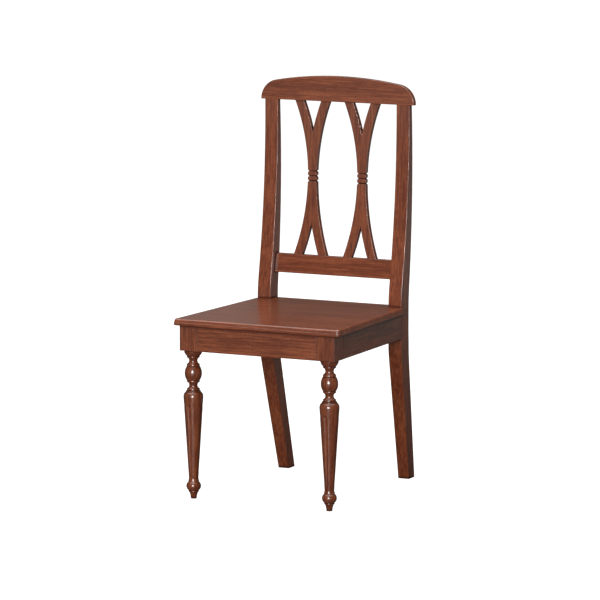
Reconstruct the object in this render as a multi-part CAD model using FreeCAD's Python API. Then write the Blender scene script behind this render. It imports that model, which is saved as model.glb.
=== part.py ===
import FreeCAD, Part
import math
import os
from FreeCAD import Placement, Rotation, Vector

# Dining chair in reddish brown hardwood: turned and fluted front legs, sabre rear legs
# that run on as the back posts, two fretted splats between a crest and a lower rail,
# and a solid seat board. Millimetres, +Z up, the chair faces -Y and the sitter's left
# and right are -X and +X as seen from the front. Origin: on the floor, in the middle
# of the footprint.

# Seat board
seat_height = 452.0
seat_thickness = 17.0
seat_front_overhang = 7.0
seat_side_overhang = 16.0
seat_rear_side_overhang = 8.5
seat_corner_radius = 9.0
seat_band_height = 8.5
seat_band_step = 1.4
seat_ovolo_radius = 6.5
seat_rear_set_in = 9.0
seat_post_clearance = 0.3

# Under-frame
leg_block = 50.0
leg_spread = 373.5
frame_depth = 383.0
apron_height = 62.6
apron_thickness = 20.0
rear_apron_set_in = 9.0
arris = 1.2

# Back posts and rear legs
post_width = 36.5
post_spread = 404.0
rear_foot_width = 30.0
rear_foot_spread = 370.0
foot_bend_radius = 600.0
post_depth_seat = 44.5
post_depth_foot = 35.0
post_depth_top = 14.2
rear_kick = 85.0
front_bend_radius = 220.0
rear_bend_radius = 420.0
rear_bend_rise = 22.0
back_recline = 44.7
front_lean = 10.7
front_lean_radius = 300.0
rear_lean = 6.6
rear_lean_radius = 400.0

# Crest rail
crest_underside = 957.0
crest_length = 426.5
crest_rise = 64.7
crest_thickness = 14.5
crest_arch_radius = 1000.0
crest_corner_radius = 50.0

# Lower back rail
rail_underside = 517.8
rail_height = 47.5
rail_thickness = 14.0
rail_set_back = 17.0

# Splats
splat_spacing = 138.0
splat_thickness = 13.0
splat_bow = 5.0
splat_arm_width = 24.2
splat_arris = 0.6
waist_height = 766.0
waist_half_width = 12.2
splat_top_half_width = 48.3
splat_bottom_half_width = 46.3
bead_half_width = 11.2
bead_height = 12.4
groove_depth = 2.2
tenon_length = 10.0
tenon_width = 15.0
tenon_thickness = 6.0
tenon_clearance = 0.2

# Turned part of the front legs, from the block down: each element has its height
turning_step = 1.0
gap_height = 1.5
gap_radius = 20.0
cup_height = 13.0
cup_radius = 22.6
cup_roundness = 1.4
ring_radius = 16.2
upper_ring_height = 4.5
upper_neck_height = 15.5
neck_radius = 10.4
bulb_ring_height = 7.0
bulb_height = 33.0
bulb_radius = 21.5
bulb_end_radius = 17.0
lower_ring_height = 6.0
lower_neck_height = 15.0
shoulder_ring_height = 6.5
fillet_height = 3.0
fillet_radius = 18.6
shoulder_height = 12.0
shoulder_radius = 24.7
shoulder_roundness = 0.9
taper_foot_radius = 11.8
collar_height = 8.0
collar_radius = 13.3
collar_hollow = 0.3
foot_bulb_height = 21.5
foot_bulb_radius = 18.3
foot_step_height = 4.0
foot_step_radius = 12.8
peg_height = 16.5
peg_radius = 10.9
peg_waist_radius = 8.3
peg_foot_radius = 7.3

# Stopped flutes on the four sides of the taper
flute_count = 4
flute_width = 12.6
flute_depth = 2.4
flute_top_margin = 23.0
flute_foot_margin = 14.0

# Dowels
dowel_radius = 4.0
dowel_length = 36.0
apron_dowel_pitch = 32.0
rail_dowel_pitch = 24.0
crest_dowel_radius = 3.0
crest_dowel_length = 40.0
crest_dowel_pitch = 15.0
dowel_clearance = 0.05
dowel_end_space = 1.0

# Corner blocks and wood screws
corner_block_thickness = 22.0
corner_block_height = 40.0
screw_radius = 2.0
screw_head_radius = 4.0
screw_head_height = 2.4
screw_clearance = 0.05
head_clearance = 0.5
frame_screw_bite = 13.0
frame_screw_cover = 9.0
seat_screw_bite = 10.0
seat_screw_cover = 24.0

# Sizes that follow from the ones above
seat_underside = seat_height - seat_thickness
seat_front_width = leg_spread + leg_block + 2 * seat_side_overhang
seat_rear_width = post_spread + 2 * seat_rear_side_overhang
apron_underside = seat_underside - apron_height
crest_top = crest_underside + crest_rise
rail_top = rail_underside + rail_height
half_block = leg_block / 2
overall_depth = half_block + seat_front_overhang + frame_depth + rear_kick + post_depth_foot
leg_y = half_block + seat_front_overhang - overall_depth / 2
leg_x = leg_spread / 2
block_back = leg_y + half_block
seat_front = leg_y - half_block - seat_front_overhang
post_front = leg_y + frame_depth
post_rear = post_front + post_depth_seat
post_outer = post_spread / 2
post_inner = post_outer - post_width
X_AXIS = Vector(1, 0, 0)
Y_AXIS = Vector(0, 1, 0)
Z_AXIS = Vector(0, 0, 1)


def line(a, b):
    return Part.LineSegment(a, b).toShape()


def arc(a, middle, b):
    return Part.Arc(a, middle, b).toShape()


def face(edges):
    return Part.Face(Part.Wire(Part.sortEdges(edges)[0]))


def polygon(points):
    return Part.Face(Part.makePolygon(points + points[:1]))


def box(low, high):
    size = high - low
    return Part.makeBox(size.x, size.y, size.z, low)


def cylinder(radius, start, end):
    span = end - start
    return Part.makeCylinder(radius, span.Length, start, span)


def mirrored(shape):
    return shape.mirror(Vector(0, 0, 0), X_AXIS)


def edges_along(shape, direction, wanted=lambda middle: True):
    """Straight edges parallel to a direction whose middle point is wanted."""
    found = []
    for edge in shape.Edges:
        if not isinstance(edge.Curve, Part.Line):
            continue
        middle = edge.CenterOfMass
        if abs(abs(edge.tangentAt(edge.FirstParameter).dot(direction)) - 1) < 1e-6 and wanted(middle):
            found.append(edge)
    return found


class BackCurve:
    """Side view of a back edge: it leaves the seat upright, leans back on one arc and
    comes upright again on a second, reversed arc that ends at the crest."""

    def __init__(self, y_seat, y_top, lean, radius):
        self.y_seat = y_seat
        self.lean = math.radians(lean)
        self.radius = radius
        self.z_turn = seat_height + radius * math.sin(self.lean)
        self.y_turn = y_seat + radius * (1 - math.cos(self.lean))
        rise = crest_underside - self.z_turn
        mean = math.atan((y_top - self.y_turn) / rise)
        self.top_angle = 2 * mean - self.lean
        self.upper_radius = rise / (math.sin(self.lean) - math.sin(self.top_angle))

    def y_at(self, z):
        if z <= seat_height:
            return self.y_seat
        if z <= self.z_turn:
            return self.y_seat + self.radius - math.sqrt(self.radius ** 2 - (z - seat_height) ** 2)
        sine = math.sin(self.lean) - (z - self.z_turn) / self.upper_radius
        return self.y_turn + self.upper_radius * (math.sqrt(1 - sine ** 2) - math.cos(self.lean))

    def point(self, z):
        return Vector(0, self.y_at(z), z)

    def edges(self, z_low, z_high):
        """The curve between two heights above the seat, as true arcs."""
        levels = [z_low] + [z for z in (self.z_turn,) if z_low < z < z_high] + [z_high]
        return [arc(self.point(a), self.point((a + b) / 2), self.point(b))
                for a, b in zip(levels, levels[1:])]


def bend_down(upper, foot, radius):
    """Arc that leaves the upper point straight down and ends where the line to the foot
    starts, as its middle and end. The points are (offset, height) pairs."""
    turn = 1 if foot[0] >= upper[0] else -1
    across = radius - abs(foot[0] - upper[0])
    down = upper[1] - foot[1]
    reach = math.sqrt(across ** 2 + down ** 2 - radius ** 2)
    sweep = math.atan2(down, across) - math.atan2(reach, radius)

    def on_arc(angle):
        return (upper[0] + turn * radius * (1 - math.cos(angle)), upper[1] - radius * math.sin(angle))

    return on_arc(sweep / 2), on_arc(sweep)


front_curve = BackCurve(post_front, post_front + back_recline, front_lean, front_lean_radius)
rear_curve = BackCurve(post_rear, post_front + back_recline + post_depth_top,
                       rear_lean, rear_lean_radius)


def post_side_face():
    """Side view of rear leg and post, in the plane x = 0."""
    foot_front = (post_front + rear_kick, 0.0)
    foot_rear = (foot_front[0] + post_depth_foot, 0.0)
    edges = []
    for y_seat, foot, radius, rise, curve in (
            (post_front, foot_front, front_bend_radius, 0.0, front_curve),
            (post_rear, foot_rear, rear_bend_radius, rear_bend_rise, rear_curve)):
        bend_top = Vector(0, y_seat, apron_underside + rise)
        middle, tangent = bend_down((y_seat, bend_top.z), foot, radius)
        tangent_point = Vector(0, *tangent)
        edges.append(line(Vector(0, *foot), tangent_point))
        edges.append(arc(tangent_point, Vector(0, *middle), bend_top))
        edges.append(line(bend_top, Vector(0, y_seat, seat_height)))
        edges += curve.edges(seat_height, crest_underside)
    edges.append(line(Vector(0, *foot_front), Vector(0, *foot_rear)))
    edges.append(line(front_curve.point(crest_underside), rear_curve.point(crest_underside)))
    return face(edges)


def post_front_face(y):
    """Front view of the right rear leg and post, in the plane at the given y."""
    edges = []
    ends = []
    for upper_offset, foot_offset in ((0.0, 0.0), (post_width, rear_foot_width)):
        upper = (-post_outer + upper_offset, apron_underside)
        foot = (-rear_foot_spread / 2 + foot_offset, 0.0)
        middle, tangent = bend_down(upper, foot, foot_bend_radius)
        points = [Vector(-x, y, z) for x, z in ((upper[0], crest_underside), upper, middle, tangent, foot)]
        edges.append(line(points[0], points[1]))
        edges.append(arc(points[1], points[2], points[3]))
        edges.append(line(points[3], points[4]))
        ends.append((points[0], points[4]))
    edges.append(line(ends[0][0], ends[1][0]))
    edges.append(line(ends[0][1], ends[1][1]))
    return face(edges)


def post_blank():
    """Right post, sawn to its side view and then to its front view, with eased arrises."""
    side = post_side_face()
    side.translate(Vector(post_inner - leg_x, 0, 0))
    sawn = side.extrude(Vector(2 * leg_x, 0, 0))
    front = post_front_face(seat_front)
    post = sawn.common(front.extrude(Vector(0, overall_depth, 0)))
    box_low, box_high = post.BoundBox.ZMin, post.BoundBox.ZMax
    long_edges = [e for e in post.Edges if e.BoundBox.ZLength > arris
                  and e.BoundBox.ZMin > box_low - 1 and e.BoundBox.ZMax < box_high + 1]
    return post.makeFillet(arris, long_edges).removeSplitter()


def dowel_hole(start, end, radius):
    direction = (end - start).normalize()
    space = direction * dowel_end_space
    return cylinder(radius + dowel_clearance, start - space, end + space)


def dowel(start, end, radius):
    body = cylinder(radius, start, end)
    ends = [e for e in body.Edges if isinstance(e.Curve, Part.Circle)]
    return body.makeChamfer(radius / 5, ends)


def spaced(count, pitch):
    return [(i - (count - 1) / 2) * pitch for i in range(count)]


def side_apron_line():
    """Outer face of the right side apron in plan: at the leg block and at the post."""
    return Vector(leg_x + half_block, block_back, 0), Vector(post_outer, post_front, 0)


def side_apron_frame():
    """Start, direction and outward normal of the right side apron in plan."""
    start, end = side_apron_line()
    along = (end - start).normalize()
    return start, end, along, Vector(along.y, -along.x, 0)


# Each joint lists its dowels as (start, end, radius). The left side mirrors the right.
def front_apron_joint():
    y = leg_y - half_block + apron_thickness / 2
    x = leg_x - half_block
    z_middle = apron_underside + apron_height / 2
    return [(Vector(x - dowel_length / 2, y, z_middle + dz), Vector(x + dowel_length / 2, y, z_middle + dz),
             dowel_radius) for dz in spaced(2, apron_dowel_pitch)]


def side_apron_joints():
    start, end, along, outward = side_apron_frame()
    z_middle = apron_underside + apron_height / 2
    pins = []
    for corner in (start, end):
        centre = corner - outward * (apron_thickness / 2)
        for dz in spaced(2, apron_dowel_pitch):
            middle = Vector(centre.x, centre.y, z_middle + dz)
            reach = along * (dowel_length / 2)
            pins.append((middle - reach, middle + reach, dowel_radius))
    return pins


def rear_apron_y():
    return post_rear - rear_apron_set_in - apron_thickness


def rear_apron_joint():
    y = rear_apron_y() + apron_thickness / 2
    z_middle = apron_underside + apron_height / 2
    reach = dowel_length / 2
    return [(Vector(post_inner - reach, y, z_middle + dz), Vector(post_inner + reach, y, z_middle + dz),
             dowel_radius) for dz in spaced(2, apron_dowel_pitch)]


def rail_y(z):
    """Front face of the lower rail, which follows the lean of the posts."""
    return front_curve.y_at(z) + rail_set_back


def rail_joint():
    reach = dowel_length / 2
    pins = []
    for dz in spaced(2, rail_dowel_pitch):
        z = rail_underside + rail_height / 2 + dz
        y = rail_y(z) + rail_thickness / 2
        pins.append((Vector(post_inner - reach, y, z), Vector(post_inner + reach, y, z), dowel_radius))
    return pins


def crest_middle_y():
    return post_front + back_recline + post_depth_top / 2


def crest_joint():
    reach = crest_dowel_length / 2
    x_middle = post_outer - post_width / 2
    return [(Vector(x_middle + dx, crest_middle_y(), crest_underside - reach),
             Vector(x_middle + dx, crest_middle_y(), crest_underside + reach), crest_dowel_radius)
            for dx in spaced(2, crest_dowel_pitch)]


def drilled(shape, pins, both_sides=False):
    holes = [dowel_hole(*pin) for pin in pins]
    if both_sides:
        holes += [mirrored(hole) for hole in holes]
    return shape.cut(Part.makeCompound(holes))


def dowel_group(pins):
    dowels = [dowel(*pin) for pin in pins]
    return Part.makeCompound(dowels + [mirrored(pin) for pin in dowels])


# Front legs
def leg_outline():
    """Half section of the turned leg below the block, as (radius, height) edges."""
    z = apron_underside
    edges = []

    def at(radius, height):
        return Vector(radius, 0, height)

    def step_to(radius):
        nonlocal here
        edges.append(line(here, at(radius, here.z)))
        here = at(radius, here.z)

    def straight(radius, height):
        nonlocal here
        there = at(radius, here.z - height)
        edges.append(line(here, there))
        here = there

    def curved(radius, height, middle_radius, share=0.5):
        nonlocal here
        there = at(radius, here.z - height)
        edges.append(arc(here, at(middle_radius, here.z - height * share), there))
        here = there

    ring_end = ring_radius - turning_step
    neck_end = ring_end - turning_step
    here = at(0, z)
    step_to(gap_radius)
    straight(gap_radius, gap_height)
    step_to(cup_radius)
    curved(ring_radius, cup_height, cup_radius - cup_roundness)
    step_to(ring_end)
    curved(ring_end, upper_ring_height, ring_radius)
    step_to(neck_end)
    curved(neck_end, upper_neck_height, neck_radius)
    step_to(ring_end)
    curved(ring_end, bulb_ring_height, ring_radius)
    step_to(bulb_end_radius)
    curved(bulb_end_radius, bulb_height, bulb_radius)
    step_to(ring_end)
    curved(ring_end, lower_ring_height, ring_radius)
    step_to(neck_end)
    curved(neck_end, lower_neck_height, neck_radius)
    step_to(ring_end)
    curved(ring_end, shoulder_ring_height, ring_radius)
    step_to(fillet_radius)
    straight(fillet_radius, fillet_height)
    step_to(fillet_radius + turning_step)
    curved(shoulder_radius, shoulder_height, shoulder_radius - shoulder_roundness)
    taper_length = here.z - taper_levels()[1]
    straight(taper_foot_radius, taper_length)
    curved(collar_radius, collar_height, collar_radius - collar_hollow)
    curved(foot_step_radius, foot_bulb_height, foot_bulb_radius)
    step_to(foot_step_radius - turning_step)
    curved(foot_step_radius - turning_step, foot_step_height, foot_step_radius)
    step_to(peg_radius)
    curved(peg_foot_radius, peg_height, peg_waist_radius)
    step_to(0)
    edges.append(line(here, at(0, z)))
    return edges


def taper_levels():
    """Heights of the upper and lower end of the fluted taper."""
    above = (gap_height, cup_height, upper_ring_height, upper_neck_height, bulb_ring_height, bulb_height,
             lower_ring_height, lower_neck_height, shoulder_ring_height, fillet_height, shoulder_height)
    below = (peg_height, foot_step_height, foot_bulb_height, collar_height)
    return apron_underside - sum(above), sum(below)


def flute_cutter():
    """A cone with a round upper end, sunk into the front of the taper so that the flute
    keeps the same share of the taper's girth all the way down."""
    top, foot = taper_levels()
    slope = (shoulder_radius - taper_foot_radius) / (top - foot)
    widest = shoulder_radius - flute_top_margin * slope

    def section(z):
        taper = taper_foot_radius + (z - foot) * slope
        depth = flute_depth * taper / widest
        half = flute_width / 2 * taper / widest
        radius = (half ** 2 + depth ** 2) / (2 * depth)
        return Vector(0, depth - taper - radius, z), radius

    low, low_radius = section(foot + flute_foot_margin)
    high, high_radius = section(top - flute_top_margin)
    along = (high - low).normalize()
    away = Vector(0, -along.z, along.y)
    rim = high + away * high_radius
    tip = high + along * high_radius
    shoulder = high + (away + along) * (high_radius / math.sqrt(2))
    start = low + away * low_radius
    outline = [line(low, start), line(start, rim), arc(rim, shoulder, tip), line(tip, low)]
    return face(outline).revolve(low, along, 360)


def front_leg():
    """Right front leg: square block above, turned and fluted below, in one piece."""
    turned = face(leg_outline()).revolve(Vector(0, 0, 0), Z_AXIS, 360)
    cutter = flute_cutter()
    flutes = []
    for i in range(flute_count):
        flute = cutter.copy()
        flute.rotate(Vector(0, 0, 0), Z_AXIS, i * 360 / flute_count)
        flutes.append(flute)
    turned = turned.cut(Part.makeCompound(flutes))
    corner = Vector(half_block, half_block, seat_underside)
    block = box(Vector(-half_block, -half_block, apron_underside), corner)
    block = block.makeFillet(arris, edges_along(block, Z_AXIS))
    leg = block.fuse(turned).removeSplitter()
    leg.translate(Vector(leg_x, leg_y, 0))
    return drilled(leg, front_apron_joint() + side_apron_joints())


def back_post():
    pins = side_apron_joints() + rear_apron_joint() + rail_joint() + crest_joint()
    return drilled(post_blank(), pins)


# Aprons
def front_apron():
    x = leg_x - half_block
    y = leg_y - half_block
    apron = box(Vector(-x, y, apron_underside), Vector(x, y + apron_thickness, seat_underside))
    front_edges = [e for e in apron.Edges
                   if abs(e.CenterOfMass.y - y) < 0.01 and e.CenterOfMass.z < seat_underside]
    apron = apron.makeChamfer(arris / 2, front_edges)
    return drilled(apron, front_apron_joint(), both_sides=True)


def side_apron():
    start, end, along, outward = side_apron_frame()
    inner_start = start - outward * apron_thickness
    inner_end = end - outward * apron_thickness
    square_start = inner_start + along * ((block_back - inner_start.y) / along.y)
    square_end = inner_end + along * ((post_front - inner_end.y) / along.y)
    apron = polygon([start, end, square_end, square_start]).extrude(Z_AXIS * apron_height)
    apron.translate(Z_AXIS * apron_underside)
    bottom_edges = [e for e in apron.Edges
                    if e.BoundBox.ZMax < apron_underside + 0.01 and e.Length > leg_block]
    apron = apron.makeChamfer(arris / 2, bottom_edges)
    return drilled(apron, side_apron_joints())


def rear_apron():
    y = rear_apron_y()
    corner = Vector(post_inner, y + apron_thickness, seat_underside)
    apron = box(Vector(-post_inner, y, apron_underside), corner)
    return drilled(apron, rear_apron_joint(), both_sides=True)


# Seat board
def seat_outline(inset):
    """Plan of the seat board. The inset draws in the moulded front and side edges."""
    side_run = post_front - seat_post_clearance - seat_front
    taper = (seat_front_width - seat_rear_width) / 2 / side_run
    front = seat_front + inset
    back = post_front - seat_post_clearance
    notch = post_inner - seat_post_clearance
    half_front = seat_front_width / 2 - inset - taper * inset
    half_rear = seat_rear_width / 2 - inset
    right = [Vector(half_front, front, 0), Vector(half_rear, back, 0),
             Vector(notch, back, 0), Vector(notch, post_rear - seat_rear_set_in, 0)]
    left = [Vector(-p.x, p.y, 0) for p in reversed(right)]
    return polygon(right + left)


def seat_layer(inset, low, high):
    layer = seat_outline(inset).extrude(Z_AXIS * (high - low))
    layer.translate(Z_AXIS * low)
    corners = edges_along(layer, Z_AXIS, lambda m: m.y < seat_front + seat_corner_radius)
    return layer.makeFillet(seat_corner_radius - inset, corners)


def moulded_rim(layer, level):
    """Edges of the front, the sides and the front corners at one level."""
    side_limit = post_front - seat_post_clearance - 0.01
    front_limit = seat_front + seat_corner_radius
    level_edges = [e for e in layer.Edges
                   if abs(e.BoundBox.ZMin - level) < 1e-3 and abs(e.BoundBox.ZMax - level) < 1e-3]
    return [e for e in level_edges if e.CenterOfMass.y < front_limit
            or (e.CenterOfMass.y < side_limit and e.Length > frame_depth / 2)]


def seat_board():
    band_top = seat_underside + seat_band_height
    band = seat_layer(0.0, seat_underside, band_top)
    rims = moulded_rim(band, band_top) + moulded_rim(band, seat_underside)
    band = band.makeFillet(seat_band_height / 3.2, rims)
    upper = seat_layer(seat_band_step, seat_underside + seat_band_height / 2, seat_height)
    upper = upper.makeFillet(seat_ovolo_radius, moulded_rim(upper, seat_height))
    seat = band.fuse(upper).removeSplitter()
    return seat.cut(Part.makeCompound([screw_hole(*screw) for screw in seat_screw_places()]))


# Corner blocks
def corner_blocks_plan():
    """Plans of the two right-hand corner blocks, each a bar set across a corner."""
    start, end, along, outward = side_apron_frame()
    inner = start - outward * apron_thickness
    slope = along.x / along.y

    def side_x(y):
        return inner.x + (y - inner.y) * slope

    def across(face_y, turn):
        """Bar from an apron face at face_y to the side apron; turn is 1 or -1 along y."""
        if turn > 0:
            corner = Vector(leg_x - half_block, block_back, 0)
        else:
            corner = Vector(post_inner, post_front, 0)
        reach = abs(corner.y - face_y)
        points = []
        for offset in (0.0, corner_block_thickness * math.sqrt(2)):
            x_start = corner.x - reach - offset
            run = (side_x(face_y) - x_start) / (1 - slope * turn)
            points.append((Vector(x_start, face_y, 0), Vector(x_start + run, face_y + turn * run, 0)))
        return [points[0][0], points[0][1], points[1][1], points[1][0]]

    front_face = leg_y - half_block + apron_thickness
    return [across(front_face, 1), across(rear_apron_y(), -1)]


def block_screw_places(plan):
    """Two screws from a corner block into its aprons and one up into the seat."""
    face_start, side_start, side_end, face_end = plan
    z = seat_underside - corner_block_height / 2
    turn = 1 if side_start.y > face_start.y else -1
    start, end, along, outward = side_apron_frame()
    places = []
    joints = (((face_start + face_end) / 2, Vector(0, -turn, 0)),
              ((side_start + side_end) / 2, outward))
    for joint, into in joints:
        seat_of_head = joint - into * frame_screw_cover
        tip = joint + into * frame_screw_bite
        places.append((Vector(seat_of_head.x, seat_of_head.y, z), Vector(tip.x, tip.y, z)))
    middle = (face_start + side_start + side_end + face_end) / 4
    places.append((Vector(middle.x, middle.y, seat_underside - seat_screw_cover),
                   Vector(middle.x, middle.y, seat_underside + seat_screw_bite)))
    return places


def screw_hole(head, tip):
    direction = (tip - head).normalize()
    shank = cylinder(screw_radius + screw_clearance, head, tip + direction * dowel_end_space)
    cone = Part.makeCone(screw_head_radius + head_clearance, screw_radius + head_clearance,
                         screw_head_height, head, direction)
    bore = cylinder(screw_head_radius + head_clearance, head - direction * corner_block_thickness, head)
    return shank.fuse([cone, bore])


def screw(head, tip):
    """Countersunk wood screw with a cross recess."""
    direction = (tip - head).normalize()
    shank_end = tip - direction * (2 * screw_radius)
    cone = Part.makeCone(screw_head_radius, screw_radius, screw_head_height, Vector(0, 0, 0), Z_AXIS)
    length = (shank_end - head).Length
    shank = Part.makeCylinder(screw_radius, length, Vector(0, 0, 0), Z_AXIS)
    point = Part.makeCone(screw_radius, screw_radius / 5, 2 * screw_radius, Vector(0, 0, length), Z_AXIS)
    body = cone.fuse([shank, point]).removeSplitter()
    slot_half = screw_head_radius * 0.6
    slot_side = screw_head_radius * 0.12
    for a, b in ((slot_half, slot_side), (slot_side, slot_half)):
        body = body.cut(box(Vector(-a, -b, -1), Vector(a, b, screw_head_height * 0.6)))
    body.Placement = Placement(head, Rotation(Z_AXIS, direction))
    return body


def all_screw_places(index):
    """Screws of one kind for the right-hand blocks and their mirror images."""
    places = []
    for plan in corner_blocks_plan():
        places += [block_screw_places(plan)[i] for i in index]
    return places + [(Vector(-a.x, a.y, a.z), Vector(-b.x, b.y, b.z)) for a, b in places]


def frame_screw_places():
    return all_screw_places((0, 1))


def seat_screw_places():
    return all_screw_places((2,))


def corner_block(plan):
    low = seat_underside - corner_block_height
    block = polygon(plan).extrude(Z_AXIS * corner_block_height)
    block.translate(Z_AXIS * low)
    return block.cut(Part.makeCompound([screw_hole(*place) for place in block_screw_places(plan)]))


def screwed(shape, near):
    """Cut the pilot holes of the screws that reach the given piece."""
    holes = [screw_hole(*place) for place in frame_screw_places() if near(place[1])]
    return shape.cut(Part.makeCompound(holes))


# Crest rail and lower rail
def crest_rail():
    half = crest_length / 2
    drop = crest_arch_radius - math.sqrt(crest_arch_radius ** 2 - half ** 2)
    y = crest_middle_y() - crest_thickness / 2
    low_left, low_right = Vector(-half, y, crest_underside), Vector(half, y, crest_underside)
    high_left, high_right = Vector(-half, y, crest_top - drop), Vector(half, y, crest_top - drop)
    outline = [line(low_left, low_right), line(low_right, high_right),
               arc(high_right, Vector(0, y, crest_top), high_left), line(high_left, low_left)]
    crest = face(outline).extrude(Y_AXIS * crest_thickness)
    shoulders = edges_along(crest, Y_AXIS, lambda m: m.z > crest_underside + 1)
    crest = crest.makeFillet(crest_corner_radius, shoulders)
    rim = [e for e in crest.Edges if e.BoundBox.YLength < 0.01 and e.BoundBox.ZMax > crest_underside + 1]
    crest = crest.makeFillet(arris, rim)
    crest = drilled(crest, crest_joint(), both_sides=True)
    return crest.cut(Part.makeCompound([mortise(*place) for place in tenon_places() if place[2] > 0]))


def lower_back_rail():
    corners = [Vector(-post_inner, rail_y(rail_underside), rail_underside),
               Vector(-post_inner, rail_y(rail_top), rail_top),
               Vector(-post_inner, rail_y(rail_top) + rail_thickness, rail_top),
               Vector(-post_inner, rail_y(rail_underside) + rail_thickness, rail_underside)]
    rail = polygon(corners).extrude(X_AXIS * (2 * post_inner))
    rail = rail.makeFillet(arris, edges_along(rail, X_AXIS))
    rail = drilled(rail, rail_joint(), both_sides=True)
    return rail.cut(Part.makeCompound([mortise(*place) for place in tenon_places() if place[2] < 0]))


# Splats
def splat_front(z):
    """Front face of the splats in side view: one shallow arc from rail to crest."""
    y_low = rail_y(rail_top) + (rail_thickness - splat_thickness) / 2
    y_high = crest_middle_y() + crest_thickness / 2 - splat_thickness
    share = (z - rail_top) / (crest_underside - rail_top)
    return y_low + (y_high - y_low) * share + splat_bow * 4 * share * (1 - share)


def splat_slab():
    """Curved board that the splats are sawn from, bounded by true arcs."""
    x_half = 2 * splat_top_half_width
    levels = [rail_top, (rail_top + crest_underside) / 2, crest_underside]
    rims = []
    for offset in (0.0, splat_thickness):
        rims.append([Vector(-x_half, splat_front(z) + offset, z) for z in levels])
    edges = [arc(*rims[0]), arc(*rims[1]), line(rims[0][0], rims[1][0]), line(rims[0][2], rims[1][2])]
    return face(edges).extrude(X_AXIS * (2 * x_half))


def flank(side, z_end, half_width, inset):
    """One arm edge: an arc that leaves the waist upright and ends at a rail."""
    span = abs(z_end - waist_height)
    spread = half_width - waist_half_width
    radius = (span ** 2 + spread ** 2) / (2 * spread)
    half_span = span / 2
    middle = waist_half_width + radius - math.sqrt(radius ** 2 - half_span ** 2)
    z_middle = (waist_height + z_end) / 2
    return (Vector(side * (waist_half_width - inset), 0, waist_height),
            Vector(side * (middle - inset), 0, z_middle),
            Vector(side * (half_width - inset), 0, z_end))


def splat_outline():
    edges = []
    for z_end, half_width in ((crest_underside, splat_top_half_width), (rail_top, splat_bottom_half_width)):
        left, right = flank(-1, z_end, half_width, 0.0), flank(1, z_end, half_width, 0.0)
        edges += [arc(*left), arc(*right), line(left[2], right[2])]
    return face(edges)


def crotch_opening(z_end, half_width):
    """Pointed opening between two arms, bounded by their inner edges."""
    beyond = 1.0 if z_end > waist_height else -1.0
    left, right = flank(-1, z_end, half_width, splat_arm_width), flank(1, z_end, half_width, splat_arm_width)
    span = abs(z_end - waist_height)
    spread = half_width - waist_half_width
    radius = (span ** 2 + spread ** 2) / (2 * spread)
    reach = splat_arm_width - waist_half_width
    z_point = waist_height + beyond * math.sqrt(radius ** 2 - (radius - reach) ** 2)
    z_middle = (z_point + z_end) / 2
    run = math.sqrt(radius ** 2 - (z_middle - waist_height) ** 2)
    x_middle = waist_half_width + radius - run - splat_arm_width
    point = Vector(0, 0, z_point)
    outline = [arc(point, Vector(-x_middle, 0, z_middle), left[2]),
               arc(point, Vector(x_middle, 0, z_middle), right[2]), line(left[2], right[2])]
    opening = face(outline).extrude(Y_AXIS * overall_depth)
    lid = box(Vector(left[2].x, 0, min(z_end, z_end + beyond)),
              Vector(right[2].x, overall_depth, max(z_end, z_end + beyond)))
    return opening.fuse(lid)


def waist_grooves():
    """Three V grooves all round the waist that leave two beads between them."""
    middle_y = splat_front(waist_height) + splat_thickness / 2
    clear = 2 * groove_depth
    across = 2 * waist_half_width
    cutters = []
    for i in (-1, 0, 1):
        z = waist_height + i * bead_height
        for side in (-1, 1):
            for half, along in ((bead_half_width, X_AXIS), (splat_thickness / 2, Y_AXIS)):
                run = Z_AXIS.cross(along) * across
                bottom = along * (side * (half - groove_depth)) + Z_AXIS * z - run
                mouth = along * (side * (half + clear)) + Z_AXIS * z - run
                opening = Z_AXIS * (groove_depth + clear)
                cutters.append(polygon([mouth + opening, bottom, mouth - opening]).extrude(run * 2))
    grooves = Part.makeCompound(cutters)
    grooves.translate(Y_AXIS * middle_y)
    return grooves


def tenon_places():
    """Foot centre, width centre and direction of every splat tenon."""
    places = []
    for splat_x in (-splat_spacing / 2, splat_spacing / 2):
        for z, half_width, up in ((crest_underside, splat_top_half_width, 1),
                                  (rail_top, splat_bottom_half_width, -1)):
            y = splat_front(z) + splat_thickness / 2
            for side in (-1, 1):
                places.append((splat_x + side * (half_width - splat_arm_width / 2), Vector(0, y, z), up))
    return places


def tenon(x, foot, up, slack=0.0, extra=0.0):
    half_width = tenon_width / 2 + slack
    half_depth = tenon_thickness / 2 + slack
    tip = foot.z + up * (tenon_length + extra)
    return box(Vector(x - half_width, foot.y - half_depth, min(foot.z, tip)),
               Vector(x + half_width, foot.y + half_depth, max(foot.z, tip)))


def mortise(x, foot, up):
    return tenon(x, foot, up, tenon_clearance, dowel_end_space)


def splat_rim(board):
    """Edges of the front and the rear face along the flanks and the openings."""
    middle = (rail_top + crest_underside) / 2
    return [e for e in board.Edges
            if e.BoundBox.ZLength > splat_thickness and abs(e.CenterOfMass.z - middle) < middle - rail_top]


def splat(side):
    x = side * splat_spacing / 2
    board = splat_outline().extrude(Y_AXIS * overall_depth)
    for z_end, half_width in ((crest_underside, splat_top_half_width), (rail_top, splat_bottom_half_width)):
        board = board.cut(crotch_opening(z_end, half_width))
    board = board.common(splat_slab())
    board = board.makeChamfer(splat_arris, splat_rim(board))
    board = board.cut(waist_grooves())
    board.translate(Vector(x, 0, 0))
    tongues = [tenon(*place) for place in tenon_places() if abs(place[0] - x) < splat_spacing / 2]
    return board.fuse(tongues).removeSplitter()


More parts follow.
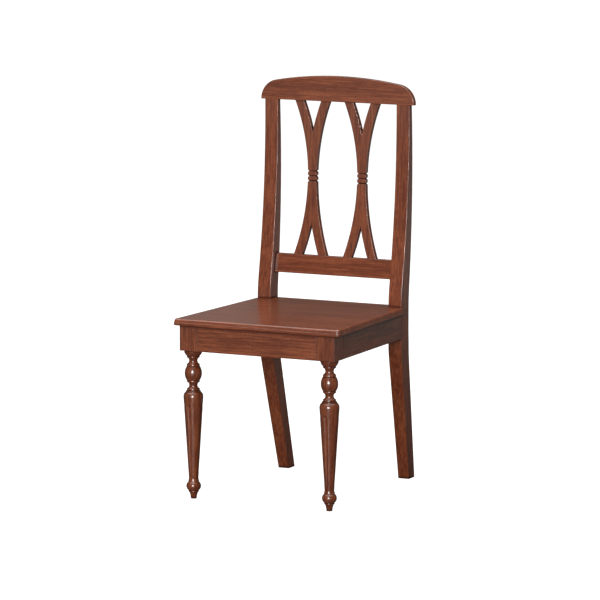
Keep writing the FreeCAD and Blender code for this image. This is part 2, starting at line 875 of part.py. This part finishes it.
def build():
    nodes = {}
    leg = front_leg()
    nodes["front_leg_right"] = leg
    nodes["front_leg_left"] = mirrored(leg)
    post = back_post()
    nodes["back_post_right"] = post
    nodes["back_post_left"] = mirrored(post)
    nodes["seat_board"] = seat_board()
    front_limit = leg_y - half_block + apron_thickness
    nodes["front_apron"] = screwed(front_apron(), lambda tip: tip.y < front_limit)
    nodes["rear_apron"] = screwed(rear_apron(), lambda tip: tip.y > rear_apron_y())
    apron = side_apron()
    inner_limit = leg_x - half_block
    apron = screwed(apron, lambda tip: tip.x > inner_limit and front_limit < tip.y < rear_apron_y())
    nodes["side_apron_right"] = apron
    nodes["side_apron_left"] = mirrored(apron)
    for name, plan in zip(("front", "rear"), corner_blocks_plan()):
        block = corner_block(plan)
        nodes["corner_block_" + name + "_right"] = block
        nodes["corner_block_" + name + "_left"] = mirrored(block)
    nodes["crest_rail"] = crest_rail()
    nodes["lower_back_rail"] = lower_back_rail()
    nodes["splat_left"] = splat(-1)
    nodes["splat_right"] = splat(1)
    nodes["front_apron_dowels"] = dowel_group(front_apron_joint())
    nodes["side_apron_dowels"] = dowel_group(side_apron_joints())
    nodes["rear_apron_dowels"] = dowel_group(rear_apron_joint())
    nodes["lower_rail_dowels"] = dowel_group(rail_joint())
    nodes["crest_dowels"] = dowel_group(crest_joint())
    nodes["corner_block_screws"] = Part.makeCompound([screw(*place) for place in frame_screw_places()])
    nodes["seat_screws"] = Part.makeCompound([screw(*place) for place in seat_screw_places()])
    return nodes


os.makedirs("parts", exist_ok=True)
for node, shape in build().items():
    shape.exportStep("parts/" + node + ".step")
    print(node, "solids", len(shape.Solids), "valid", shape.isValid(), "volume", round(shape.Volume))
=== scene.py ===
import math

import bmesh
import bpy
from bpy.props import FloatProperty, FloatVectorProperty, PointerProperty
from bpy.types import Operator, Panel, PropertyGroup
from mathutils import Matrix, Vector

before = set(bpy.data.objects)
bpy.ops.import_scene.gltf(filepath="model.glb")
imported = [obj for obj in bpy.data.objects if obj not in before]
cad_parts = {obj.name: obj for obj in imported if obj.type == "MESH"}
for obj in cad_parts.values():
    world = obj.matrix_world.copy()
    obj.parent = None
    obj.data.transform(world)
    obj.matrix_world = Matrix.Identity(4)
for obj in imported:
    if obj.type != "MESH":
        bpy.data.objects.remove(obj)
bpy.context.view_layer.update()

bl_info = {
    "name": "Dining Chair Finish",
    "version": (1, 0, 0),
    "blender": (4, 5, 0),
    "location": "View3D > Sidebar > Chair",
    "description": "Finishes the lacquered dining chair and sets its studio",
    "category": "Object",
}

MM = 0.001

# Which way the grain runs in each part of the chair
GRAIN_UP = ("front_leg_left", "front_leg_right", "back_post_left", "back_post_right")
SPLATS = ("splat_left", "splat_right")
GRAIN_ACROSS = ("front_apron", "rear_apron")
GRAIN_BACK = ("side_apron_left", "side_apron_right")
CORNER_BLOCKS = ("corner_block_front_left", "corner_block_front_right",
                 "corner_block_rear_left", "corner_block_rear_right")
DOWELS = ("front_apron_dowels", "side_apron_dowels", "rear_apron_dowels",
          "lower_rail_dowels", "crest_dowels")
SCREWS = ("corner_block_screws", "seat_screws")

QUARTER = math.pi / 2
TURN_UP = (0.0, QUARTER, 0.0)
TURN_ACROSS = (0.0, 0.0, 0.0)
TURN_BACK = (0.0, 0.0, QUARTER)

# Cells per metre along and across the grain, for each layer of its figure
BANDS = (1.8, 42.0)
STREAKS = (10.0, 250.0)
FIBRES = (45.0, 900.0)
VESSELS = (95.0, 1500.0)

# How far a crevice is felt, and the openness at which its painted shade begins and is darkest
CREVICE_REACH = 8 * MM
CREVICE_OPENNESS = (0.94, 0.7)

# Where an arris is lightened, as worn stain and painted highlight: how far its normal turns, as a cosine, and
# how open it has to lie
ARRIS_TURN = (0.995, 0.86)
ARRIS_OPENNESS = (0.8, 0.98)

# The tones of the grain at which the dark, the main and the light stain lie
STAIN_TONES = (0.12, 0.5, 0.88)

# Where each light hangs: azimuth and elevation in degrees, distance in metres
LIGHT_PLACES = {
    "Front softbox": (14.0, 10.0, 12.0),
    "Back softbox": (217.5, 7.0, 4.0),
    "Rear fill": (178.0, 62.0, 5.0),
    "Top softbox": (-35.0, 85.0, 6.0),
}

# How far the floor's change of tone reaches, from the painted shadow round the chair outwards, and the share
# of the way in where the middle tone lies
FLOOR_REACH = 7.0
FLOOR_MIDDLE = 0.6


def colour_property(name, description, default):
    return FloatVectorProperty(name=name, description=description, default=default,
                               subtype="COLOR", min=0.0, max=1.0, size=3)


def share_property(name, description, default):
    return FloatProperty(name=name, description=description, default=default,
                         subtype="FACTOR", min=0.0, max=1.0)


def length_property(name, description, default, least=0.1):
    return FloatProperty(name=name, description=description, default=default,
                         subtype="DISTANCE", unit="LENGTH", min=least)


def angle_property(name, description, degrees):
    return FloatProperty(name=name, description=description, default=math.radians(degrees),
                         subtype="ANGLE", unit="ROTATION")


def power_property(name, description, default):
    return FloatProperty(name=name, description=description, default=default, unit="POWER", min=0.0)


class ChairFinish(PropertyGroup):
    dark_wood: colour_property("Dark streaks", "Colour of the late wood", (0.105, 0.021, 0.007))
    mid_wood: colour_property("Stain", "Main colour of the stained wood", (0.172, 0.04, 0.0135))
    light_wood: colour_property("Light streaks", "Colour of the early wood", (0.245, 0.066, 0.024))
    # The pore colour also serves as the painted shade laid in the crevices
    pore: colour_property("Pores", "Colour of the filled pores and crevices", (0.06, 0.013, 0.006))
    # Lighter colour on the arrises: partly stain worn thin, partly a painted highlight of the lit edges
    worn_and_highlit_arris: colour_property("Worn arrises", "Colour where the stain is thin on an edge",
                               (0.36, 0.12, 0.055))
    inside_wood: colour_property("Inside wood", "Unstained wood of the corner blocks",
                                 (0.42, 0.23, 0.11))
    dowel_wood: colour_property("Dowel wood", "Wood of the dowels", (0.55, 0.35, 0.18))
    steel: colour_property("Screw steel", "Colour of the wood screws", (0.55, 0.5, 0.4))
    roughness: share_property("Roughness", "Roughness of the stained wood", 0.36)
    shine: share_property("Shine", "Specular level of the stained wood", 0.35)
    planed_roughness: share_property("Planed roughness", "Roughness of the unfinished wood", 0.72)
    lacquer: share_property("Lacquer", "Strength of the clear lacquer", 0.9)
    lacquer_ior: FloatProperty(name="Lacquer IOR", description="Index of refraction of the clear lacquer",
                               default=1.65, min=1.0, max=3.0)
    lacquer_roughness: share_property("Lacquer roughness", "Roughness of the clear lacquer", 0.18)
    # How strongly the arrises are lightened, as wear and painted highlight
    arris_wear_and_highlight: share_property("Wear", "How thin the stain has worn on the arrises", 0.35)
    # Strength of the painted shade that ambient occlusion lays in the crevices
    painted_crevice_shade: share_property("Crevices", "How dark the stain lies in the crevices", 0.95)
    arris: length_property("Arris", "Rounding of the edges", 2.0 * MM, 0.0)


class ChairStage(PropertyGroup):
    camera_azimuth: angle_property("Camera azimuth", "Turn of the camera to the right of the front", 26.15)
    camera_elevation: angle_property("Camera elevation", "Height of the camera above the horizon", 8.2)
    camera_distance: length_property("Camera distance", "From the camera to its target", 10.527, 1.0)
    camera_target: FloatVectorProperty(name="Camera target", description="Point at the middle of the picture",
                                       default=(0.0086, -0.0355, 0.483), size=3,
                                       subtype="XYZ", unit="LENGTH")
    lens: FloatProperty(name="Lens", description="Focal length on a 36 mm sensor", default=254.04,
                        min=20.0, subtype="DISTANCE_CAMERA", unit="CAMERA")
    floor_radius: length_property("Floor radius", "Radius of the studio floor", 45.0, 5.0)
    far_floor: colour_property("Far floor", "Tone that the lacquer mirrors far out", (0.7, 0.69, 0.66))
    mid_floor: colour_property("Middle floor", "Tone that the lacquer mirrors nearer", (0.13, 0.126, 0.117))
    # Painted shadow: the dark tone of the floor round the legs, seen only in mirror images and bounced light
    painted_floor_shadow: colour_property("Near floor", "Tone of the floor round the legs", (0.04, 0.04, 0.04))
    floor_polish: share_property("Floor polish", "Share of the floor's own mirror image", 0.1)
    room: colour_property("Room", "Light that comes back from the room", (0.075, 0.072, 0.066))
    key_power: power_property("Front light", "Power of the softbox near the camera", 1110.0)
    key_size: length_property("Front light size", "Side of the front softbox", 3.4)
    back_power: power_property("Back light", "Power of the card behind on the left", 0.55)
    back_width: length_property("Back light width", "Width of the card behind", 1.3)
    back_height: length_property("Back light height", "Height of the card behind", 1.1)
    fill_power: power_property("Rear fill", "Power of the softbox high behind the chair", 75.0)
    fill_size: length_property("Rear fill size", "Side of the softbox high behind", 3.0)
    top_power: power_property("Top light", "Power of the large softbox above", 450.0)
    top_size: length_property("Top light size", "Side of the top softbox", 8.5)


def direction(azimuth, elevation):
    """Unit vector toward a place round the chair; azimuth 0 is straight in front."""
    return Vector((math.sin(azimuth) * math.cos(elevation),
                   -math.cos(azimuth) * math.cos(elevation), math.sin(elevation)))


# Nodes, and sums and mixes of their values
def node(tree, kind, **settings):
    """A new node whose attributes are set by name and whose inputs by label or number."""
    made = tree.nodes.new("ShaderNode" + kind)
    values = settings.pop("values", {})
    for key, value in settings.items():
        setattr(made, key, value)
    for key, value in values.items():
        made.inputs[key].default_value = value
    return made


def stretched_noise(tree, vector, along, across, detail, roughness=0.5, distortion=0.0):
    """Noise drawn out along X: so many cells per metre along and across the grain."""
    scale = node(tree, "VectorMath", operation="MULTIPLY", values={1: (along, across, across)})
    tree.links.new(vector, scale.inputs[0])
    noise = node(tree, "TexNoise", values={"Scale": 1.0, "Detail": detail, "Roughness": roughness,
                                           "Distortion": distortion})
    tree.links.new(scale.outputs[0], noise.inputs["Vector"])
    return noise.outputs["Fac"]


def ranged(tree, value, low, high, to_low=0.0, to_high=1.0):
    """The value between low and high, drawn out to the new range and held inside it."""
    made = node(tree, "MapRange", values={"From Min": low, "From Max": high,
                                          "To Min": to_low, "To Max": to_high})
    tree.links.new(value, made.inputs["Value"])
    return made.outputs["Result"]


def swing(tree, noise, reach):
    """The middle of a noise as a change of up to reach either way."""
    return ranged(tree, noise, 0.3, 0.7, -reach, reach)


def combined(tree, operation, a, b):
    """A sum, difference or product of two values, each a number or a socket."""
    made = node(tree, "Math", operation=operation)
    for socket, value in zip(made.inputs, (a, b)):
        if isinstance(value, (int, float)):
            socket.default_value = value
        else:
            tree.links.new(value, socket)
    return made.outputs[0]


def mixed(tree, factor, a, b):
    """Mix of two colours, each a colour or a socket."""
    made = node(tree, "Mix", data_type="RGBA")
    tree.links.new(factor, made.inputs["Factor"])
    for socket, value in zip((made.inputs[6], made.inputs[7]), (a, b)):
        if hasattr(value, "node"):
            tree.links.new(value, socket)
        else:
            socket.default_value = (*value, 1.0)
    return made.outputs[2]


def graded(tree, value, positions, colours):
    """Three colours laid out over a value at the given positions."""
    ramp = node(tree, "ValToRGB")
    stops = ramp.color_ramp.elements
    stops[0].position, stops[1].position = positions[0], positions[2]
    stops.new(positions[1])
    for stop, colour in zip(stops, colours):
        stop.color = (*colour, 1.0)
    tree.links.new(value, ramp.inputs["Fac"])
    return ramp.outputs["Color"]


def seen_and_mirrored(tree, seen, mirrored, output):
    """Give the camera one shader, and every mirror image and bounce of light another."""
    path = node(tree, "LightPath")
    mix = node(tree, "MixShader")
    tree.links.new(path.outputs["Is Camera Ray"], mix.inputs["Fac"])
    tree.links.new(mirrored, mix.inputs[1])
    tree.links.new(seen, mix.inputs[2])
    tree.links.new(mix.outputs["Shader"], tree.nodes[output].inputs["Surface"])


# Effects that the finishes share
def new_group(name, inputs, outputs):
    """An empty shader group with its sockets, and its input and output nodes."""
    group = bpy.data.node_groups.new(name, "ShaderNodeTree")
    for label, kind, default in inputs:
        socket = group.interface.new_socket(label, in_out="INPUT", socket_type="NodeSocket" + kind)
        if default is not None:
            socket.default_value = default
    for label, kind in outputs:
        group.interface.new_socket(label, in_out="OUTPUT", socket_type="NodeSocket" + kind)
    return group, group.nodes.new("NodeGroupInput"), group.nodes.new("NodeGroupOutput")


def place_group(tree, name, vector):
    """A shared effect placed in a material, at the given place on the piece."""
    placed = node(tree, "Group", node_tree=bpy.data.node_groups[name])
    tree.links.new(vector, placed.inputs["Vector"])
    return placed


def straight_grain():
    """Straight grain along X: tone of the streaks, mask of the pores and height."""
    tree, start, end = new_group(
        "Straight grain", [("Vector", "Vector", None), ("Figure", "Float", 1.0), ("Pores", "Float", 1.0)],
        [("Tone", "Float"), ("Pores", "Float"), ("Height", "Float")])
    vector = start.outputs["Vector"]
    bands = stretched_noise(tree, vector, *BANDS, detail=3.0, roughness=0.55, distortion=0.35)
    streaks = stretched_noise(tree, vector, *STREAKS, detail=4.0, roughness=0.6, distortion=0.1)
    fibres = stretched_noise(tree, vector, *FIBRES, detail=2.0)
    vessels = stretched_noise(tree, vector, *VESSELS, detail=1.0)
    tone = combined(tree, "ADD", swing(tree, bands, 0.2), swing(tree, streaks, 0.45))
    tone = combined(tree, "ADD", tone, swing(tree, fibres, 0.25))
    tone = combined(tree, "MULTIPLY", tone, start.outputs["Figure"])
    tone = combined(tree, "ADD", tone, 0.5)
    pores = combined(tree, "MULTIPLY", ranged(tree, vessels, 0.62, 0.70), start.outputs["Pores"])
    height = combined(tree, "SUBTRACT", combined(tree, "MULTIPLY", tone, 0.4), pores)
    tree.links.new(tone, end.inputs["Tone"])
    tree.links.new(pores, end.inputs["Pores"])
    tree.links.new(height, end.inputs["Height"])


def eased_edge():
    """Masks of the arrises, lightened as worn stain and painted highlight, and of the crevices, darkened as
    painted shade, and the normal of the rounded edges.
    """
    tree, start, end = new_group(
        "Eased edge", [("Vector", "Vector", None), ("Radius", "Float", 1.0 * MM)],
        [("Worn and highlit", "Float"), ("Crevice", "Float"), ("Normal", "Vector")])
    rounding = node(tree, "Bevel", samples=6)
    tree.links.new(start.outputs["Radius"], rounding.inputs["Radius"])
    surface = node(tree, "NewGeometry")
    match = node(tree, "VectorMath", operation="DOT_PRODUCT")
    tree.links.new(rounding.outputs["Normal"], match.inputs[0])
    tree.links.new(surface.outputs["Normal"], match.inputs[1])
    edge = ranged(tree, match.outputs["Value"], *ARRIS_TURN)
    shelter = node(tree, "AmbientOcclusion", samples=12, values={"Distance": CREVICE_REACH})
    openness = shelter.outputs["AO"]
    patches = stretched_noise(tree, start.outputs["Vector"], 30.0, 30.0, 3.0)
    # The arris mask lightens the rounded edges, as worn stain and painted highlight
    worn = combined(tree, "MULTIPLY", edge, ranged(tree, patches, 0.35, 0.65, 0.25, 1.0))
    worn = combined(tree, "MULTIPLY", worn, ranged(tree, openness, *ARRIS_OPENNESS))
    tree.links.new(worn, end.inputs["Worn and highlit"])
    # The crevice mask follows ambient occlusion, so it marks where shade falls
    tree.links.new(ranged(tree, openness, *CREVICE_OPENNESS), end.inputs["Crevice"])
    tree.links.new(rounding.outputs["Normal"], end.inputs["Normal"])


def handling():
    """Slow changes of sheen over a surface from polishing and handling."""
    tree, start, end = new_group("Handling", [("Vector", "Vector", None), ("Roughness", "Float", 0.3)],
                                 [("Roughness", "Float")])
    cloud = stretched_noise(tree, start.outputs["Vector"], 9.0, 9.0, 4.0)
    fine = stretched_noise(tree, start.outputs["Vector"], 160.0, 160.0, 2.0)
    change = combined(tree, "ADD", swing(tree, cloud, 0.03), swing(tree, fine, 0.015))
    tree.links.new(combined(tree, "ADD", start.outputs["Roughness"], change), end.inputs["Roughness"])


# Finishes
def new_finish(name):
    """A new material, its node tree and its main shader."""
    material = bpy.data.materials.new(name)
    material.use_nodes = True
    return material, material.node_tree, material.node_tree.nodes["Principled BSDF"]


def grain_place(tree, turn, offset=(0.0, 0.0, 0.0)):
    """Place on the piece, in metres, turned so that X runs with the grain."""
    place = node(tree, "TexCoord")
    mapping = node(tree, "Mapping", values={"Rotation": turn, "Location": offset})
    tree.links.new(place.outputs["Object"], mapping.inputs["Vector"])
    return mapping.outputs["Vector"]


def grain_bump(tree, grain, strength, depth):
    """Relief of the open grain, so many metres deep."""
    bump = node(tree, "Bump", values={"Strength": strength, "Distance": depth})
    tree.links.new(grain.outputs["Height"], bump.inputs["Height"])
    return bump


def stained_colour(tree, grain, edge, stain):
    """Streaks and pores of the stained wood, lighter on the arrises as worn stain and painted highlight, and
    darkened with painted shade in the crevices.
    """
    finish = bpy.context.scene.chair_finish
    streaks = [[channel * stain for channel in colour]
               for colour in (finish.dark_wood, finish.mid_wood, finish.light_wood)]
    colour = graded(tree, grain.outputs["Tone"], STAIN_TONES, streaks)
    colour = mixed(tree, grain.outputs["Pores"], colour, finish.pore)
    # Arrises turn lighter, partly as worn stain, partly as painted highlight
    thin = combined(tree, "MULTIPLY", edge.outputs["Worn and highlit"], finish.arris_wear_and_highlight)
    colour = mixed(tree, thin, colour, finish.worn_and_highlit_arris)
    # Painted shade: sheltered crevices darken towards the pore colour
    filled = combined(tree, "MULTIPLY", edge.outputs["Crevice"], finish.painted_crevice_shade)
    return mixed(tree, filled, colour, finish.pore)


def lacquered_wood(name, turn, offset=(0.0, 0.0, 0.0), stain=1.0, rubbed=0.0, crisp=1.0):
    """Stained and lacquered hardwood.

    rubbed is the roughness that use adds to the lacquer, and crisp the share of the usual
    rounding of the arrises.
    """
    finish = bpy.context.scene.chair_finish
    material, tree, shader = new_finish(name)
    vector = grain_place(tree, turn, offset)
    grain = place_group(tree, "Straight grain", vector)
    edge = place_group(tree, "Eased edge", vector)
    edge.inputs["Radius"].default_value = finish.arris * crisp
    sheen = place_group(tree, "Handling", vector)
    sheen.inputs["Roughness"].default_value = finish.lacquer_roughness + rubbed
    bump = grain_bump(tree, grain, 0.25, 0.15 * MM)
    tree.links.new(edge.outputs["Normal"], bump.inputs["Normal"])
    lacquer = ranged(tree, edge.outputs["Crevice"], 0.0, 1.0, finish.lacquer, 0.0)
    for value, socket in ((stained_colour(tree, grain, edge, stain), "Base Color"),
                          (bump.outputs["Normal"], "Normal"),
                          (lacquer, "Coat Weight"),
                          (sheen.outputs["Roughness"], "Coat Roughness"),
                          (edge.outputs["Normal"], "Coat Normal")):
        tree.links.new(value, shader.inputs[socket])
    shader.inputs["Coat IOR"].default_value = finish.lacquer_ior
    shader.inputs["Roughness"].default_value = finish.roughness
    shader.inputs["Specular IOR Level"].default_value = finish.shine
    return material


def planed_wood(name, turn, colour):
    """Planed wood with no finish, for the parts inside the joints."""
    material, tree, shader = new_finish(name)
    vector = grain_place(tree, turn)
    grain = place_group(tree, "Straight grain", vector)
    dark = [channel * 0.7 for channel in colour]
    light = [min(1.0, channel * 1.25) for channel in colour]
    pore = [channel * 0.5 for channel in colour]
    streaks = mixed(tree, grain.outputs["Tone"], dark, light)
    tree.links.new(mixed(tree, grain.outputs["Pores"], streaks, pore), shader.inputs["Base Color"])
    sheen = place_group(tree, "Handling", vector)
    sheen.inputs["Roughness"].default_value = bpy.context.scene.chair_finish.planed_roughness
    tree.links.new(sheen.outputs["Roughness"], shader.inputs["Roughness"])
    bump = grain_bump(tree, grain, 0.4, 0.2 * MM)
    tree.links.new(bump.outputs["Normal"], shader.inputs["Normal"])
    return material


def screw_steel():
    """Dull steel, tarnished in spots."""
    finish = bpy.context.scene.chair_finish
    material, tree, shader = new_finish("Screw steel")
    shader.inputs["Metallic"].default_value = 1.0
    place = node(tree, "TexCoord")
    tarnish = stretched_noise(tree, place.outputs["Object"], 260.0, 260.0, 3.0)
    steel = mixed(tree, tarnish, [channel * 0.6 for channel in finish.steel], finish.steel)
    tree.links.new(steel, shader.inputs["Base Color"])
    tree.links.new(ranged(tree, tarnish, 0.3, 0.7, 0.25, 0.45), shader.inputs["Roughness"])
    return material


def give(nodes, material):
    """Put this material alone on each of the named CAD nodes."""
    for name in nodes:
        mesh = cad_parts[name].data
        mesh.materials.clear()
        mesh.materials.append(material)


class CHAIR_OT_mix_effects(Operator):
    """Build the shader groups that the finishes share"""
    bl_idname = "chair.mix_effects"
    bl_label = "Mix Shared Effects"

    def execute(self, context):
        straight_grain()
        eased_edge()
        handling()
        return {"FINISHED"}


class CHAIR_OT_lacquer_frame(Operator):
    """Stain and lacquer the legs, posts, rails, aprons and splats"""
    bl_idname = "chair.lacquer_frame"
    bl_label = "Lacquer Frame"

    def execute(self, context):
        give(GRAIN_UP, lacquered_wood("Frame wood, upright", TURN_UP, stain=1.05))
        give(SPLATS, lacquered_wood("Splat wood", TURN_UP, (0.2, 0.5, 0.3), stain=0.98, crisp=0.6))
        give(GRAIN_ACROSS, lacquered_wood("Frame wood, across", TURN_ACROSS, (0.3, 0.1, 0.2), stain=1.15))
        give(("crest_rail",), lacquered_wood("Crest wood", TURN_ACROSS, (0.9, 0.3, 0.1), stain=1.11))
        give(("lower_back_rail",), lacquered_wood("Rail wood", TURN_ACROSS, (0.5, 0.2, 0.6), stain=1.07))
        give(GRAIN_BACK, lacquered_wood("Frame wood, front to back", TURN_BACK))
        return {"FINISHED"}


class CHAIR_OT_lacquer_seat(Operator):
    """Stain and lacquer the seat board"""
    bl_idname = "chair.lacquer_seat"
    bl_label = "Lacquer Seat"

    def execute(self, context):
        give(("seat_board",), lacquered_wood("Board wood", TURN_ACROSS, (0.7, 0.4, 0.0), stain=1.26,
                                             rubbed=0.05, crisp=0.75))
        return {"FINISHED"}


class CHAIR_OT_finish_inside(Operator):
    """Give the corner blocks, dowels and screws their bare finishes"""
    bl_idname = "chair.finish_inside"
    bl_label = "Finish Inside Parts"

    def execute(self, context):
        finish = context.scene.chair_finish
        give(CORNER_BLOCKS, planed_wood("Bare block wood", TURN_ACROSS, finish.inside_wood))
        give(DOWELS, planed_wood("Dowel wood", TURN_ACROSS, finish.dowel_wood))
        give(SCREWS, screw_steel())
        return {"FINISHED"}


# Stage
def softbox(name, width, height, power, target):
    """A soft light that faces the chair and stays out of the picture."""
    azimuth, elevation, distance = LIGHT_PLACES[name]
    light = bpy.data.lights.new(name, "AREA")
    light.shape = "RECTANGLE"
    light.size, light.size_y, light.energy = width, height, power
    holder = bpy.data.objects.new(name, light)
    bpy.context.collection.objects.link(holder)
    toward = direction(math.radians(azimuth), math.radians(elevation))
    holder.location = target + toward * distance
    holder.rotation_euler = toward.to_track_quat("Z", "Y").to_euler()
    holder.visible_camera = False


def floor_paint(stage):
    """White to the camera; in mirror images and bounced light dark near the chair as a painted shadow, pale
    far out and a little polished.
    """
    material, tree, white = new_finish("Studio floor")
    for socket, value in (("Base Color", (0.3, 0.3, 0.3, 1.0)), ("Roughness", 0.9),
                          ("Specular IOR Level", 0.0), ("Emission Color", (1.0, 1.0, 1.0, 1.0)),
                          ("Emission Strength", 1.0)):
        white.inputs[socket].default_value = value
    place = node(tree, "TexCoord")
    shrink = node(tree, "Mapping", values={"Scale": (1 / FLOOR_REACH, 1 / FLOOR_REACH, 1 / FLOOR_REACH)})
    rings = node(tree, "TexGradient", gradient_type="SPHERICAL")
    tree.links.new(place.outputs["Object"], shrink.inputs["Vector"])
    tree.links.new(shrink.outputs["Vector"], rings.inputs["Vector"])
    grey = graded(tree, rings.outputs["Fac"], (0.0, FLOOR_MIDDLE, 1.0),
                  (stage.far_floor, stage.mid_floor, stage.painted_floor_shadow))
    dull = node(tree, "BsdfDiffuse")
    tree.links.new(grey, dull.inputs["Color"])
    polish = node(tree, "BsdfAnisotropic", values={"Color": (0.5, 0.5, 0.5, 1.0), "Roughness": 0.3})
    laid = node(tree, "MixShader", values={"Fac": stage.floor_polish})
    tree.links.new(dull.outputs["BSDF"], laid.inputs[1])
    tree.links.new(polish.outputs["BSDF"], laid.inputs[2])
    seen_and_mirrored(tree, white.outputs["BSDF"], laid.outputs["Shader"], "Material Output")
    return material


class CHAIR_OT_set_stage(Operator):
    """Lay the pale floor, hang the soft lights and set up the camera"""
    bl_idname = "chair.set_stage"
    bl_label = "Set Stage"

    def execute(self, context):
        stage = context.scene.chair_stage
        target = Vector(stage.camera_target)
        self.lay_floor(context, stage)
        self.light_room(context, stage)
        softbox("Front softbox", stage.key_size, stage.key_size, stage.key_power, target)
        softbox("Back softbox", stage.back_width, stage.back_height, stage.back_power, target)
        softbox("Rear fill", stage.fill_size, stage.fill_size, stage.fill_power, target)
        softbox("Top softbox", stage.top_size, stage.top_size, stage.top_power, target)
        self.aim_camera(context, stage, target)
        context.scene.view_settings.view_transform = "Standard"
        return {"FINISHED"}

    def lay_floor(self, context, stage):
        """A round floor, which isn't part of the chair."""
        shape = bmesh.new()
        bmesh.ops.create_circle(shape, cap_ends=True, segments=96, radius=stage.floor_radius)
        mesh = bpy.data.meshes.new("studio_floor")
        shape.to_mesh(mesh)
        shape.free()
        floor = bpy.data.objects.new("studio_floor", mesh)
        context.collection.objects.link(floor)
        mesh.materials.append(floor_paint(stage))

    def light_room(self, context, stage):
        """A dim, warm room for the lacquer to mirror, and a white backdrop for the camera."""
        world = bpy.data.worlds.new("Studio room")
        world.use_nodes = True
        tree = world.node_tree
        room = tree.nodes["Background"]
        room.inputs["Color"].default_value = (*stage.room, 1.0)
        backdrop = node(tree, "Background", values={"Color": (1.0, 1.0, 1.0, 1.0)})
        seen_and_mirrored(tree, backdrop.outputs["Background"], room.outputs["Background"], "World Output")
        context.scene.world = world

    def aim_camera(self, context, stage, target):
        """A long lens at the viewing angle of the photo."""
        lens = bpy.data.cameras.new("Camera")
        lens.sensor_width = 36.0
        lens.lens = stage.lens
        lens.clip_end = 200.0
        camera = bpy.data.objects.new("Camera", lens)
        context.collection.objects.link(camera)
        back = direction(stage.camera_azimuth, stage.camera_elevation)
        camera.location = target + back * stage.camera_distance
        camera.rotation_euler = back.to_track_quat("Z", "Y").to_euler()
        context.scene.camera = camera


class CHAIR_PT_workshop(Panel):
    bl_idname = "CHAIR_PT_workshop"
    bl_label = "Dining Chair"
    bl_space_type = "VIEW_3D"
    bl_region_type = "UI"
    bl_category = "Chair"

    def draw(self, context):
        for operator in OPERATORS:
            self.layout.operator(operator.bl_idname)
        for group in (context.scene.chair_finish, context.scene.chair_stage):
            column = self.layout.column()
            for name in group.__annotations__:
                column.prop(group, name)


OPERATORS = (CHAIR_OT_mix_effects, CHAIR_OT_lacquer_frame, CHAIR_OT_lacquer_seat,
             CHAIR_OT_finish_inside, CHAIR_OT_set_stage)
CLASSES = (ChairFinish, ChairStage) + OPERATORS + (CHAIR_PT_workshop,)


def register():
    for cls in CLASSES:
        bpy.utils.register_class(cls)
    bpy.types.Scene.chair_finish = PointerProperty(type=ChairFinish)
    bpy.types.Scene.chair_stage = PointerProperty(type=ChairStage)


def unregister():
    del bpy.types.Scene.chair_stage
    del bpy.types.Scene.chair_finish
    for cls in reversed(CLASSES):
        bpy.utils.unregister_class(cls)


def main():
    register()
    bpy.ops.chair.mix_effects()
    bpy.ops.chair.lacquer_frame()
    bpy.ops.chair.lacquer_seat()
    bpy.ops.chair.finish_inside()
    bpy.ops.chair.set_stage()


if __name__ == "__main__":
    main()
